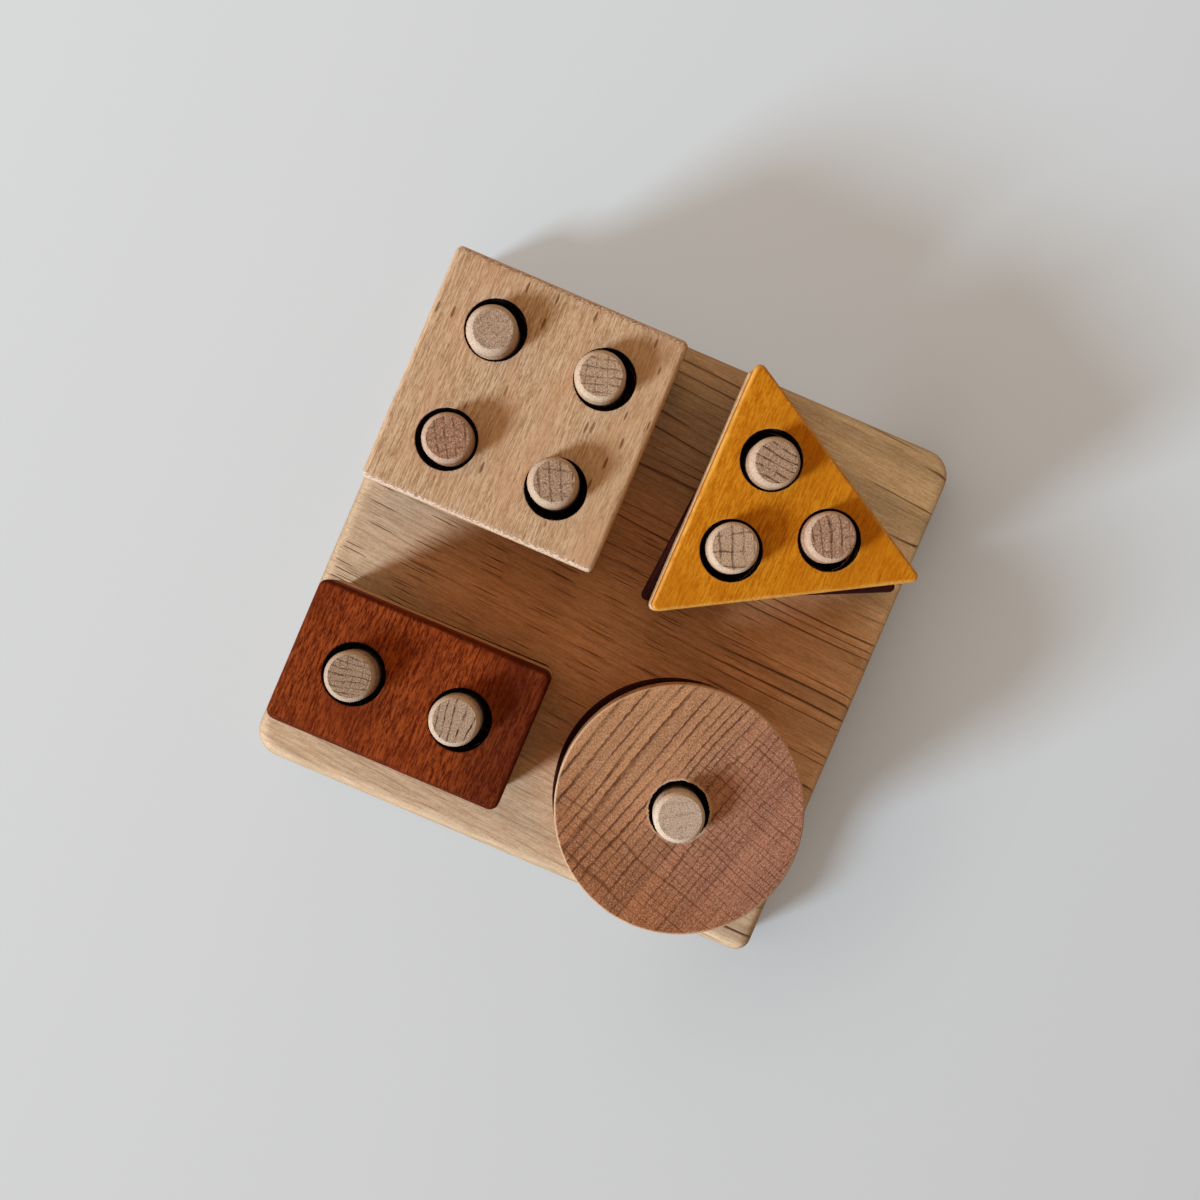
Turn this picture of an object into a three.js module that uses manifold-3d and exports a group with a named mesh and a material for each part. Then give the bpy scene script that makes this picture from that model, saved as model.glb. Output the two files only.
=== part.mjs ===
// Stacking pegboard: a square board, ten pegs glued into it in groups of four, three, two and one,
// and four stacks of drilled blocks that drop loosely over the pegs.
// Millimetres, +Z up. The origin is the centre of the board's underside.
import * as THREE from 'three';
import { mergeVertices } from 'three/addons/utils/BufferGeometryUtils.js';
import Module from 'manifold-3d';

// Board
const BOARD_SIDE = 120;
const BOARD_THICKNESS = 12;
const BOARD_CORNER_RADIUS = 6;
const BOARD_EDGE_ROUND = 2.5;

// Pegs, glued into blind sockets
const PEG_DIAMETER = 10.2;
const PEG_PROUD = 4.4;
const PEG_TIP_CHAMFER = 1.25;
const PEG_FOOT_CHAMFER = 0.6;
const SOCKET_DEPTH = 8;
const GLUE_GAP = 0.1;

// Blocks: all are cut from one thickness of wood, with eased edges and straight drilled holes.
// Each stack stands near the middle of one quarter of the board, at its offset from there. The holes of a
// block lie a little further out than the pegs, by a spread that is a share of the hole clearance.
const BLOCK_THICKNESS = 7;
const HOLE_CLEARANCE = 1.2;
const STACK_GAP = 0.2;
const CORNER_OVER_EASE = 1.1;

const SQUARE_SIDE = 50;
const SQUARE_CORNER_RADIUS = 1.4;
const SQUARE_EDGE_EASE = 1.2;
const SQUARE_PEG_PITCH = 22.8;
const SQUARE_HOLE_SPREAD = 0.55;
const SQUARE_OFFSET = [0.3, -0.45];

const TRIANGLE_SIDE = 55.2;
const TRIANGLE_CORNER_RADIUS = 1.3;
const TRIANGLE_EDGE_EASE = 0.8;
const TRIANGLE_PEG_PITCH = 18.7;
const TRIANGLE_HOLE_SPREAD = 0.43;
const TRIANGLE_OFFSET = [-5.26, -0.4];

const RECTANGLE_LENGTH = 50;
const RECTANGLE_WIDTH = 30;
const RECTANGLE_CORNER_RADIUS = 1.9;
const RECTANGLE_EDGE_EASE = 1;
const RECTANGLE_PEG_PITCH = 22.2;
const RECTANGLE_HOLE_SPREAD = 0.33;
const RECTANGLE_OFFSET = [0.87, -2.28];

const DISC_DIAMETER = 50;
const DISC_EDGE_EASE = 0.5;
const DISC_OFFSET = [0.1, -2.4];

// Facets
const ROUND_SIDES = 24;
const DISC_SIDES = 64;
const CORNER_FACETS = 4;
const BOARD_CORNER_FACETS = 8;
const EDGE_FACETS = 2;
const BOARD_EDGE_FACETS = 3;
const WELD_DISTANCE = 1e-4;

// Derived sizes
const PEG_RADIUS = PEG_DIAMETER / 2;
const HOLE_RADIUS = PEG_RADIUS + HOLE_CLEARANCE;
const SOCKET_RADIUS = PEG_RADIUS + GLUE_GAP;
const STACK_STEP = BLOCK_THICKNESS + STACK_GAP;
const THREE_FOLD = 2 * Math.PI / 3;

// Wood tones
const wood = (color, roughness) => new THREE.MeshStandardMaterial({ color, roughness, metalness: 0 });
const BOARD_WOOD = wood(0xc79e6e, 0.6);
const PEG_WOOD = wood(0xc9ab90, 0.7);
const TONES = {
  natural: wood(0xc8a27a, 0.6),
  mustard: wood(0xc87f14, 0.55),
  russet: wood(0x7c3318, 0.55),
  maroon: wood(0x3a1014, 0.55),
};

// Each stack lists its blocks from the board up. lean and twist say how a block lies on its pegs, as shares
// of the hole clearance: lean is its shift along X and Y, and twist is how far its holes have turned about
// the stack's centre. At each peg they add up with the spread to less than 1, so no block cuts a peg.
const STACKS = [
  {
    shape: 'square',
    centre: quarterPoint(-1, 1, SQUARE_OFFSET),
    edge: SQUARE_EDGE_EASE,
    pegs: rectanglePoints(SQUARE_PEG_PITCH, SQUARE_PEG_PITCH),
    spread: SQUARE_HOLE_SPREAD,
    outline: roundedPolygon(rectanglePoints(SQUARE_SIDE, SQUARE_SIDE), SQUARE_CORNER_RADIUS,
      SQUARE_EDGE_EASE, CORNER_FACETS),
    blocks: [
      { tone: 'maroon', lean: [-0.08, 0.25], twist: 0.04 },
      { tone: 'russet', lean: [-0.17, 0.17], twist: -0.05 },
      { tone: 'mustard', lean: [-0.08, 0.21], twist: 0.05 },
      { tone: 'natural', lean: [0.08, 0.11], twist: 0 },
    ],
  },
  {
    shape: 'triangle',
    centre: quarterPoint(1, 1, TRIANGLE_OFFSET),
    edge: TRIANGLE_EDGE_EASE,
    pegs: trianglePoints(TRIANGLE_PEG_PITCH),
    spread: TRIANGLE_HOLE_SPREAD,
    outline: roundedPolygon(trianglePoints(TRIANGLE_SIDE), TRIANGLE_CORNER_RADIUS,
      TRIANGLE_EDGE_EASE, CORNER_FACETS),
    blocks: [
      { tone: 'russet', lean: [0.31, 0.09], twist: -0.1 },
      { tone: 'maroon', lean: [0, 0], twist: -0.77 },
      { tone: 'natural', lean: [-0.39, -0.08], twist: -0.02 },
      { tone: 'mustard', lean: [0.09, -0.01], twist: -0.06 },
    ],
  },
  {
    shape: 'rectangle',
    centre: quarterPoint(-1, -1, RECTANGLE_OFFSET),
    edge: RECTANGLE_EDGE_EASE,
    pegs: [[-RECTANGLE_PEG_PITCH / 2, 0], [RECTANGLE_PEG_PITCH / 2, 0]],
    spread: RECTANGLE_HOLE_SPREAD,
    outline: roundedPolygon(rectanglePoints(RECTANGLE_LENGTH, RECTANGLE_WIDTH), RECTANGLE_CORNER_RADIUS,
      RECTANGLE_EDGE_EASE, CORNER_FACETS),
    blocks: [
      { tone: 'maroon', lean: [-0.15, -0.29], twist: 0.1 },
      { tone: 'mustard', lean: [0.29, -0.11], twist: -0.1 },
      { tone: 'natural', lean: [0.33, 0.48], twist: 0.02 },
      { tone: 'russet', lean: [0.38, 0.52], twist: 0.02 },
    ],
  },
  {
    shape: 'disc',
    centre: quarterPoint(1, -1, DISC_OFFSET),
    edge: DISC_EDGE_EASE,
    pegs: [[0, 0]],
    spread: 0,
    outline: circleShape(DISC_DIAMETER / 2),
    blocks: [
      { tone: 'mustard', lean: [0.31, -0.44], twist: 0 },
      { tone: 'maroon', lean: [-0.74, 0.3], twist: 0 },
      { tone: 'russet', lean: [0.35, 0.26], twist: 0 },
      { tone: 'natural', lean: [-0.17, 0.71], twist: 0 },
    ],
  },
];

// The middle of a quarter of the board, by the signs of its sides, moved by an offset
function quarterPoint(signX, signY, [offsetX, offsetY]) {
  return [signX * BOARD_SIDE / 4 + offsetX, signY * BOARD_SIDE / 4 + offsetY];
}

// Outlines
function rectanglePoints(length, width) {
  const x = length / 2;
  const y = width / 2;
  return [[x, y], [-x, y], [-x, -y], [x, -y]];
}

// Equilateral triangle about its centroid, with one corner towards +X
function trianglePoints(side) {
  const reach = side / Math.sqrt(3);
  return [0, 1, 2].map((i) => [reach * Math.cos(i * THREE_FOLD), reach * Math.sin(i * THREE_FOLD)]);
}

function circleShape(radius) {
  const shape = new THREE.Shape();
  shape.absarc(0, 0, radius, 0, 2 * Math.PI, false);
  return { shape, facets: DISC_SIDES };
}

// Convex polygon, counter-clockwise, whose corners become arcs. A corner stays wider than the eased edge.
function roundedPolygon(points, cornerRadius, edge, facets) {
  const radius = Math.max(cornerRadius, edge * CORNER_OVER_EASE);
  const corners = points.map((point) => new THREE.Vector2(...point));
  const shape = new THREE.Shape();
  corners.forEach((corner, i) => {
    const before = corners[(i + corners.length - 1) % corners.length];
    const after = corners[(i + 1) % corners.length];
    const inward = before.clone().sub(corner).normalize();
    const onward = after.clone().sub(corner).normalize();
    const halfAngle = Math.acos(inward.dot(onward)) / 2;
    const bisector = inward.clone().add(onward).normalize();
    const centre = corner.clone().addScaledVector(bisector, radius / Math.sin(halfAngle));
    const start = Math.atan2(-inward.x, inward.y);
    const turn = Math.PI - 2 * halfAngle;
    shape.absarc(centre.x, centre.y, radius, start + Math.PI, start + Math.PI + turn, false);
  });
  shape.closePath();
  return { shape, facets };
}

// Solids
const wasm = await Module();
wasm.setup();

function toSolid(geometry) {
  const bare = geometry.clone();
  bare.deleteAttribute('normal');
  bare.deleteAttribute('uv');
  const merged = mergeVertices(bare, WELD_DISTANCE);
  return new wasm.Manifold(new wasm.Mesh({
    numProp: 3,
    vertProperties: new Float32Array(merged.attributes.position.array),
    triVerts: new Uint32Array(merged.index.array),
  }));
}

function toGeometry(solid) {
  const { vertProperties, triVerts } = solid.getMesh();
  const geometry = new THREE.BufferGeometry();
  geometry.setAttribute('position', new THREE.BufferAttribute(new Float32Array(vertProperties), 3));
  geometry.setIndex(new THREE.BufferAttribute(new Uint32Array(triVerts), 1));
  geometry.computeVertexNormals();
  return geometry;
}

// A slab of the outline, standing on z = 0, with its top and bottom edges rounded. Each arc of the outline
// gets two facets for one curve segment.
function slab({ shape, facets }, thickness, edge, edgeFacets) {
  const geometry = new THREE.ExtrudeGeometry(shape, {
    depth: thickness - 2 * edge,
    curveSegments: facets / 2,
    bevelEnabled: true,
    bevelThickness: edge,
    bevelSize: edge,
    bevelOffset: -edge,
    bevelSegments: edgeFacets,
  });
  return geometry.translate(0, 0, edge);
}

// Upright round cutter between two heights
function drill(radius, [x, y], low, high) {
  const cutter = new THREE.CylinderGeometry(radius, radius, high - low, ROUND_SIDES);
  cutter.rotateX(Math.PI / 2).translate(x, y, (low + high) / 2);
  return toSolid(cutter);
}

function cutAll(geometry, cutters) {
  return toGeometry(cutters.reduce((solid, cutter) => solid.subtract(cutter), toSolid(geometry)));
}

function boardGeometry() {
  const outline = roundedPolygon(rectanglePoints(BOARD_SIDE, BOARD_SIDE), BOARD_CORNER_RADIUS,
    BOARD_EDGE_ROUND, BOARD_CORNER_FACETS);
  const blank = slab(outline, BOARD_THICKNESS, BOARD_EDGE_ROUND, BOARD_EDGE_FACETS);
  const sockets = STACKS.flatMap(({ centre, pegs }) => pegs.map(([x, y]) => drill(SOCKET_RADIUS,
    [centre[0] + x, centre[1] + y], BOARD_THICKNESS - SOCKET_DEPTH, 2 * BOARD_THICKNESS)));
  return cutAll(blank, sockets);
}

// A peg stands on z = 0 at the foot of its socket
function pegGeometry(length) {
  const profile = [
    [0, 0],
    [PEG_RADIUS - PEG_FOOT_CHAMFER, 0],
    [PEG_RADIUS, PEG_FOOT_CHAMFER],
    [PEG_RADIUS, length - PEG_TIP_CHAMFER],
    [PEG_RADIUS - PEG_TIP_CHAMFER, length],
    [0, length],
  ].map((point) => new THREE.Vector2(...point));
  return new THREE.LatheGeometry(profile, ROUND_SIDES).rotateX(Math.PI / 2);
}

// Each hole lies on the line from the stack's centre through its peg
function blockGeometry({ outline, edge, pegs, spread }) {
  const blank = slab(outline, BLOCK_THICKNESS, edge, EDGE_FACETS);
  const holes = pegs.map((peg) => {
    const outward = new THREE.Vector2(...peg).normalize();
    return new THREE.Vector2(...peg).addScaledVector(outward, spread * HOLE_CLEARANCE).toArray();
  });
  return cutAll(blank, holes.map((hole) => drill(HOLE_RADIUS, hole, -BLOCK_THICKNESS, 2 * BLOCK_THICKNESS)));
}

// Assembly
function named(name, geometry, material) {
  const mesh = new THREE.Mesh(geometry, material);
  mesh.name = name;
  return mesh;
}

function addPegs(group, { shape, pegs, blocks }) {
  const foot = GLUE_GAP - SOCKET_DEPTH;
  const geometry = pegGeometry(blocks.length * STACK_STEP + PEG_PROUD - foot);
  pegs.forEach(([x, y], i) => {
    const name = pegs.length > 1 ? `${shape}_peg_${i + 1}` : `${shape}_peg`;
    const peg = named(name, geometry, PEG_WOOD);
    peg.position.set(x, y, foot);
    group.add(peg);
  });
}

function addBlocks(group, stack) {
  const geometry = blockGeometry(stack);
  const reach = Math.hypot(...stack.pegs[0]);
  stack.blocks.forEach(({ tone, lean, twist }, level) => {
    const block = named(`${stack.shape}_${tone}`, geometry, TONES[tone]);
    block.position.set(lean[0] * HOLE_CLEARANCE, lean[1] * HOLE_CLEARANCE, STACK_GAP + level * STACK_STEP);
    block.rotation.z = reach > 0 ? twist * HOLE_CLEARANCE / reach : 0;
    group.add(block);
  });
}

const pegboard = new THREE.Group();
pegboard.add(named('base_board', boardGeometry(), BOARD_WOOD));
for (const stack of STACKS) {
  const group = new THREE.Group();
  group.position.set(...stack.centre, BOARD_THICKNESS);
  addPegs(group, stack);
  addBlocks(group, stack);
  pegboard.add(group);
}

export default pegboard;
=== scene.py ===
"""Looks of the stacking pegboard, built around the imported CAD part."""

import math

import bmesh
import bpy
from mathutils import Euler, Matrix, Vector, noise


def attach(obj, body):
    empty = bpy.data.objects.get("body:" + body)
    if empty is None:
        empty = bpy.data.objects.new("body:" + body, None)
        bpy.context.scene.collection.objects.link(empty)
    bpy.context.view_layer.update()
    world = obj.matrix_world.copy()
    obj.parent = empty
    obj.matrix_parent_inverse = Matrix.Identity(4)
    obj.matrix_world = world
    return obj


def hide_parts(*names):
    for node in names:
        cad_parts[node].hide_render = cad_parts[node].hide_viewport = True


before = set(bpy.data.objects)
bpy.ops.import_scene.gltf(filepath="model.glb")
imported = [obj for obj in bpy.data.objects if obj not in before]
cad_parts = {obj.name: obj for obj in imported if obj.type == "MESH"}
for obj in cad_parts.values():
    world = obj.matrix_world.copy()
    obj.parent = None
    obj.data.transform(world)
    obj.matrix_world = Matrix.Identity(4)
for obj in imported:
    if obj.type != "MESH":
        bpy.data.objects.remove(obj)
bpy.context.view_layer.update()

MM = 0.001

# Board, pegs and blocks, in millimetres, as in the CAD part. Only the board's last corner, next to the disc
# stack, is sharper here, as in the photo.
BOARD_SIDE = 120
BOARD_THICKNESS = 12
BOARD_CORNERS = (6, 6, 6, 3.5)
BOARD_ROUND = 2.5
PEG_RADIUS = 5.1
PEG_PROUD = 4.4
PEG_FOOT = 0.6
SOCKET_DEPTH = 8
GLUE_GAP = 0.1
BLOCK_THICKNESS = 7
BLOCKS_IN_STACK = 4
HOLE_CLEARANCE = 1.2
STACK_GAP = 0.2
STACK_STEP = BLOCK_THICKNESS + STACK_GAP
PEG_FOOT_Z = BOARD_THICKNESS - SOCKET_DEPTH + GLUE_GAP
PEG_LENGTH = SOCKET_DEPTH - GLUE_GAP + BLOCKS_IN_STACK * STACK_STEP + PEG_PROUD
SQUARE_SIDE = 50
SQUARE_PITCH = 22.8
TRIANGLE_SIDE = 55.2
TRIANGLE_PITCH = 18.7
RECTANGLE_SIDES = (50, 30)
RECTANGLE_PITCH = 22.2
DISC_RADIUS = 25

# Fineness of the meshes, in millimetres and counts
OUTLINE_PITCH = 1.0
BOARD_PITCH = 2.0
ROUND_SIDES = 96
DISC_SIDES = 180
ARC_STEPS = 6
EASE_STEPS = 5
RIM_STEPS = 3
SHARPEST_CORNER = 0.05

# Worn edges and the rims of holes: widths in millimetres, waves per millimetre, and how uneven the wear is
WEAR_BAND = 0.5
WEAR_WAVES = 0.16
WEAR_FADE = 1.5
EDGE_UNEVEN = 0.35
BOARD_UNEVEN = 0.08
HOLE_RIM = 0.16
RIM_BAND = 0.4
TORN_RIM = 0.45
TORN_WAVES = 1.7
CLEAN_RIM = 0.06

# Seeds, and how far apart the noise and the grain of two seeds lie
FIRST_BLOCK_SEED = 1
FIRST_PEG_SEED = 31
BOARD_SEED = 50
UNDERSIDE_SEED = 0.5
NOISE_STEP = 7.31
GRAIN_STEP = (3.7, 5.3, 1.9)

# Material slots of a drilled piece
WOOD_SLOT = 0
WALL_SLOT = 1


def box_corners(length, width):
    x, y = length / 2, width / 2
    return [(x, y), (-x, y), (-x, -y), (x, -y)]


def triangle_corners(side):
    reach = side / math.sqrt(3)
    return [(reach * math.cos(k * math.tau / 3), reach * math.sin(k * math.tau / 3)) for k in range(3)]


# Each stack: its centre, pegs and outline, how far its holes lie outside the pegs, and its blocks from the
# board up as tone, lean and twist. Spread, lean and twist are shares of the hole clearance. The holes of the
# two top blocks were drilled slightly out of place: drift is their shift, and skew their turn in degrees.
# Drift, skew, two of the hole radii and the natural triangle's lean are not in the CAD part, and follow the
# photo.
STACKS = {
    "square": {
        "centre": (-29.7, 29.55),
        "pegs": box_corners(SQUARE_PITCH, SQUARE_PITCH),
        "corners": box_corners(SQUARE_SIDE, SQUARE_SIDE),
        "corner_radius": 1.4,
        "ease": 1.2,
        "hole_radius": 6.3,
        "spread": 0.55,
        "drift": (0.2, -0.05),
        "skew": -1.2,
        "blocks": [
            ("maroon", (-0.08, 0.25), 0.04),
            ("russet", (-0.17, 0.17), -0.05),
            ("mustard", (-0.08, 0.21), 0.05),
            ("natural", (0.08, 0.11), 0.0),
        ],
    },
    "triangle": {
        "centre": (24.74, 29.6),
        "pegs": triangle_corners(TRIANGLE_PITCH),
        "corners": triangle_corners(TRIANGLE_SIDE),
        "corner_radius": 1.3,
        "ease": 0.8,
        "hole_radius": 6.3,
        "spread": 0.43,
        "drift": (0.05, 0.05),
        "skew": -0.5,
        "blocks": [
            ("russet", (0.31, 0.09), -0.1),
            ("maroon", (0.0, 0.0), -0.77),
            ("natural", (-0.16, -0.08), -0.02),
            ("mustard", (0.09, -0.01), -0.06),
        ],
    },
    "rectangle": {
        "centre": (-29.13, -32.28),
        "pegs": [(-RECTANGLE_PITCH / 2, 0), (RECTANGLE_PITCH / 2, 0)],
        "corners": box_corners(*RECTANGLE_SIDES),
        "corner_radius": 1.9,
        "ease": 1.0,
        "hole_radius": 6.4,
        "spread": 0.33,
        "drift": (-0.09, -0.5),
        "skew": -0.4,
        "blocks": [
            ("maroon", (-0.15, -0.29), 0.1),
            ("mustard", (0.29, -0.11), -0.1),
            ("natural", (0.33, 0.48), 0.02),
            ("russet", (0.38, 0.52), 0.02),
        ],
    },
    "disc": {
        "centre": (30.1, -32.4),
        "pegs": [(0, 0)],
        "corners": None,
        "corner_radius": DISC_RADIUS,
        "ease": 0.5,
        "hole_radius": 6.2,
        "spread": 0,
        "drift": (0.06, -0.23),
        "skew": 0,
        "blocks": [
            ("mustard", (0.31, -0.44), 0.0),
            ("maroon", (-0.74, 0.3), 0.0),
            ("russet", (0.35, 0.26), 0.0),
            ("natural", (-0.17, 0.71), 0.0),
        ],
    },
}
DRILLED_OFF = 2

# Camera of the photo: the eye in millimetres from the middle of the board's underside, its turns in degrees,
# its lens, and how near and far it sees in metres
EYE = (-2.58, 2.93, 286.1)
EYE_TURNS = (-0.53, -0.364, 23.124)
LENS = 37.07
SENSOR = 36
NEAREST = 0.01
FARTHEST = 50


def photo_camera():
    camera = bpy.data.objects.new("photo_camera", bpy.data.cameras.new("photo_camera"))
    camera.data.sensor_width = SENSOR
    camera.data.lens = LENS
    camera.data.clip_start = NEAREST
    camera.data.clip_end = FARTHEST
    camera.location = Vector(EYE) * MM
    camera.rotation_mode = "ZYX"
    camera.rotation_euler = Euler([math.radians(turn) for turn in EYE_TURNS], "ZYX")
    bpy.context.scene.collection.objects.link(camera)
    bpy.context.scene.camera = camera


# Outlines. Each is a function that gives the ring of points at an inset from the outline, counter-clockwise
# and always with the same number of points.
def polygon_outline(corners, radii, pitch):
    points = [Vector(corner) for corner in corners]
    count = len(points)
    ways = []
    runs = []
    for i, here in enumerate(points):
        before = (points[i - 1] - here).normalized()
        after = points[(i + 1) % count] - here
        runs.append(max(1, round(after.length / pitch)))
        after.normalize()
        half = math.acos(before.dot(after)) / 2
        first = math.atan2(-before.x, before.y) + math.pi
        ways.append(((before + after).normalized() / math.sin(half), first, math.pi - 2 * half))

    def arc_point(i, inset, step):
        inward, first, turn = ways[i % count]
        bend = max(radii[i % count] - inset, SHARPEST_CORNER)
        angle = first + turn * step / ARC_STEPS
        return points[i % count] + inward * (inset + bend) + Vector((math.cos(angle), math.sin(angle))) * bend

    def ring(inset):
        made = []
        for i in range(count):
            made += [arc_point(i, inset, step) for step in range(ARC_STEPS + 1)]
            start, end = made[-1], arc_point(i + 1, inset, 0)
            made += [start.lerp(end, k / runs[i]) for k in range(1, runs[i])]
        return made

    return ring


def circle_outline(radius, sides):
    turns = [math.tau * k / sides for k in range(sides)]

    def ring(inset):
        return [Vector((math.cos(turn), math.sin(turn))) * (radius - inset) for turn in turns]

    return ring


# Meshes. Each has a layer that says how rubbed every point is; the materials also paint highlight and shade
# on edges with it.
def wobble(point, waves, seed):
    """Smooth noise from about -1 to 1 at a point of an outline."""
    return noise.noise(Vector((point.x * waves, point.y * waves, seed * NOISE_STEP)))


def quarter_round(steps):
    """From the side of a rounded edge to its face: shares of the way in, and of the drop from the face."""
    angles = [math.pi / 2 * k / steps for k in range(steps + 1)]
    return [(1 - math.cos(angle), 1 - math.sin(angle)) for angle in angles]


def add_ring(bm, wear_and_edge_light, points, z, wear_and_light=0.0):
    ring = [bm.verts.new((point.x, point.y, z)) for point in points]
    for vert in ring:
        vert[wear_and_edge_light] = wear_and_light
    return ring


def bridge(bm, low, high, slot=WOOD_SLOT):
    for k in range(len(low)):
        face = bm.faces.new((low[k - 1], low[k], high[k], high[k - 1]))
        face.material_index = slot
        face.smooth = True


def fill(bm, rings):
    edges = [bm.edges.get((ring[k - 1], ring[k])) for ring in rings for k in range(len(ring))]
    made = bmesh.ops.triangle_fill(bm, edges=edges, use_beauty=True)
    for item in made["geom"]:
        if isinstance(item, bmesh.types.BMFace):
            item.smooth = True


def worn_ring(outline, ease, uneven, share, seed):
    """Ring of an eased edge that is worn more in some places than in others."""
    slight = outline(ease * (1 - uneven) * share)
    strong = outline(ease * (1 + uneven) * share)
    places = outline(0)
    return [a.lerp(b, 0.5 + 0.5 * wobble(p, WEAR_WAVES, seed)) for a, b, p in zip(slight, strong, places)]


def face_rings(bm, wear_and_edge_light, outline, thickness, ease, uneven, seed, up):
    """Rings from the side of a slab over its eased edge onto one face, which is level at the last two."""
    levels = [(0, ease + WEAR_BAND, 0)]
    for share, down in quarter_round(EASE_STEPS):
        levels.append((share, ease * down, min(1, WEAR_FADE * (1 - share))))
    rings = []
    for share, drop, wear_and_light in levels:
        points = worn_ring(outline, ease, uneven, share, seed)
        rings.append(add_ring(bm, wear_and_edge_light, points, thickness - drop if up else drop, wear_and_light))
    rings.append(add_ring(bm, wear_and_edge_light, outline(ease + WEAR_BAND), thickness if up else 0))
    return rings


def slab_mesh(bm, wear_and_edge_light, outline, thickness, ease, uneven, seed, holes):
    tops = face_rings(bm, wear_and_edge_light, outline, thickness, ease, uneven, seed, True)
    bottoms = face_rings(bm, wear_and_edge_light, outline, thickness, ease, uneven, seed + UNDERSIDE_SEED, False)
    rings = bottoms[::-1] + tops
    for low, high in zip(rings, rings[1:]):
        bridge(bm, low, high)
    top_loops = [tops[-1]]
    bottom_loops = [bottoms[-1]]
    for hole in holes:
        walls = hole_mesh(bm, wear_and_edge_light, thickness, seed, **hole)
        top_loops.append(walls[0])
        if hole["floor"] == 0:
            bottom_loops.append(walls[-1])
        else:
            fill(bm, [walls[-1]])
    fill(bm, top_loops)
    fill(bm, bottom_loops)


def hole_mesh(bm, wear_and_edge_light, top, seed, centre, radius, floor, ragged):
    """A drilled hole from the top face down, with a softened rim that may be torn. Its wall is dark."""
    rim = [(HOLE_RIM * down, HOLE_RIM * inward) for inward, down in quarter_round(RIM_STEPS)]
    profile = [(HOLE_RIM + RIM_BAND, top, 0)]
    profile += [(out, top - drop, 1) for out, drop in rim]
    wall = len(profile) - 1
    profile += [(out, drop, 0) for out, drop in reversed(rim)] if floor == 0 else [(0, floor, 0)]
    circle = circle_outline(radius, ROUND_SIDES)
    middle = Vector(centre)
    rings = []
    for out, z, torn in profile:
        points = circle(-out)
        if torn:
            depths = [ragged / radius * abs(wobble(p, TORN_WAVES, seed + centre[0])) for p in points]
            points = [p * (1 - depth) for p, depth in zip(points, depths)]
        rings.append(add_ring(bm, wear_and_edge_light, [p + middle for p in points], z, torn * ragged / TORN_RIM))
    for k, (high, low) in enumerate(zip(rings, rings[1:])):
        bridge(bm, low, high, WALL_SLOT if k == wall else WOOD_SLOT)
    return rings


# Tip of a peg, from its side to its flat: the way in and down as shares of the chamfer, the share of the
# flat's shift, and its wear, which the material also paints as a highlight on the chamfer
PEG_TIP = [
    {"inward": 0, "down": 1.4, "shift": 0, "wear_and_edge_light": 0},
    {"inward": 0.05, "down": 1, "shift": 0, "wear_and_edge_light": 0.5},
    {"inward": 0.5, "down": 0.48, "shift": 0.5, "wear_and_edge_light": 1},
    {"inward": 0.97, "down": 0.03, "shift": 0.97, "wear_and_edge_light": 0.9},
    {"inward": 1.06, "down": 0, "shift": 1, "wear_and_edge_light": 0},
    {"inward": 1.15, "down": 0, "shift": 1, "wear_and_edge_light": 0},
]


def peg_mesh(bm, wear_and_edge_light, chamfer, flat, lean):
    """A dowel that stands slightly out of true. The flat of its tip lies off centre in a hand-cut chamfer."""
    profile = [(PEG_RADIUS - PEG_FOOT, 0, 0, 0), (PEG_RADIUS, PEG_FOOT, 0, 0)]
    profile.append((PEG_RADIUS, PEG_LENGTH / 2, 0, 0))
    for tip in PEG_TIP:
        radius, z = PEG_RADIUS - tip["inward"] * chamfer, PEG_LENGTH - tip["down"] * chamfer
        profile.append((radius, z, tip["shift"], tip["wear_and_edge_light"]))
    rings = []
    for radius, z, shift, wear_and_light in profile:
        middle = Vector(flat) * shift + Vector(lean) * (z / PEG_LENGTH)
        points = circle_outline(radius, ROUND_SIDES)(0)
        rings.append(add_ring(bm, wear_and_edge_light, [point + middle for point in points], z, wear_and_light))
    for low, high in zip(rings, rings[1:]):
        bridge(bm, low, high)
    fill(bm, [rings[0]])
    fill(bm, [rings[-1]])


def new_piece(name, build, materials, place=(0, 0, 0), turn=0.0):
    """A piece whose mesh is built in millimetres about its own centre, then set in the row frame."""
    bm = bmesh.new()
    build(bm, bm.verts.layers.float.new("wear_and_edge_light"))
    bmesh.ops.recalc_face_normals(bm, faces=bm.faces)
    set_in_row = Matrix.Translation(Vector(place) * MM) @ Matrix.Rotation(turn, 4, "Z") @ Matrix.Scale(MM, 4)
    bm.transform(set_in_row)
    mesh = bpy.data.meshes.new(name)
    bm.to_mesh(mesh)
    bm.free()
    for material in materials:
        mesh.materials.append(material)
    piece = bpy.data.objects.new(name, mesh)
    bpy.context.scene.collection.objects.link(piece)
    piece.modifiers.new("flat_faces", "WEIGHTED_NORMAL")
    return piece


# Textures: the roughness of noise, the hard core of a dash, how sharply dashes pick their cells, and the
# strength and depth of relief, in millimetres
NOISE_ROUGHNESS = 0.58
DASH_CORE = 0.65
DASH_PICK = 0.85
BUMP_STRENGTH = 0.6
BUMP_DEPTH = 0.12
DRILL_DEPTH = 0.1


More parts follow.
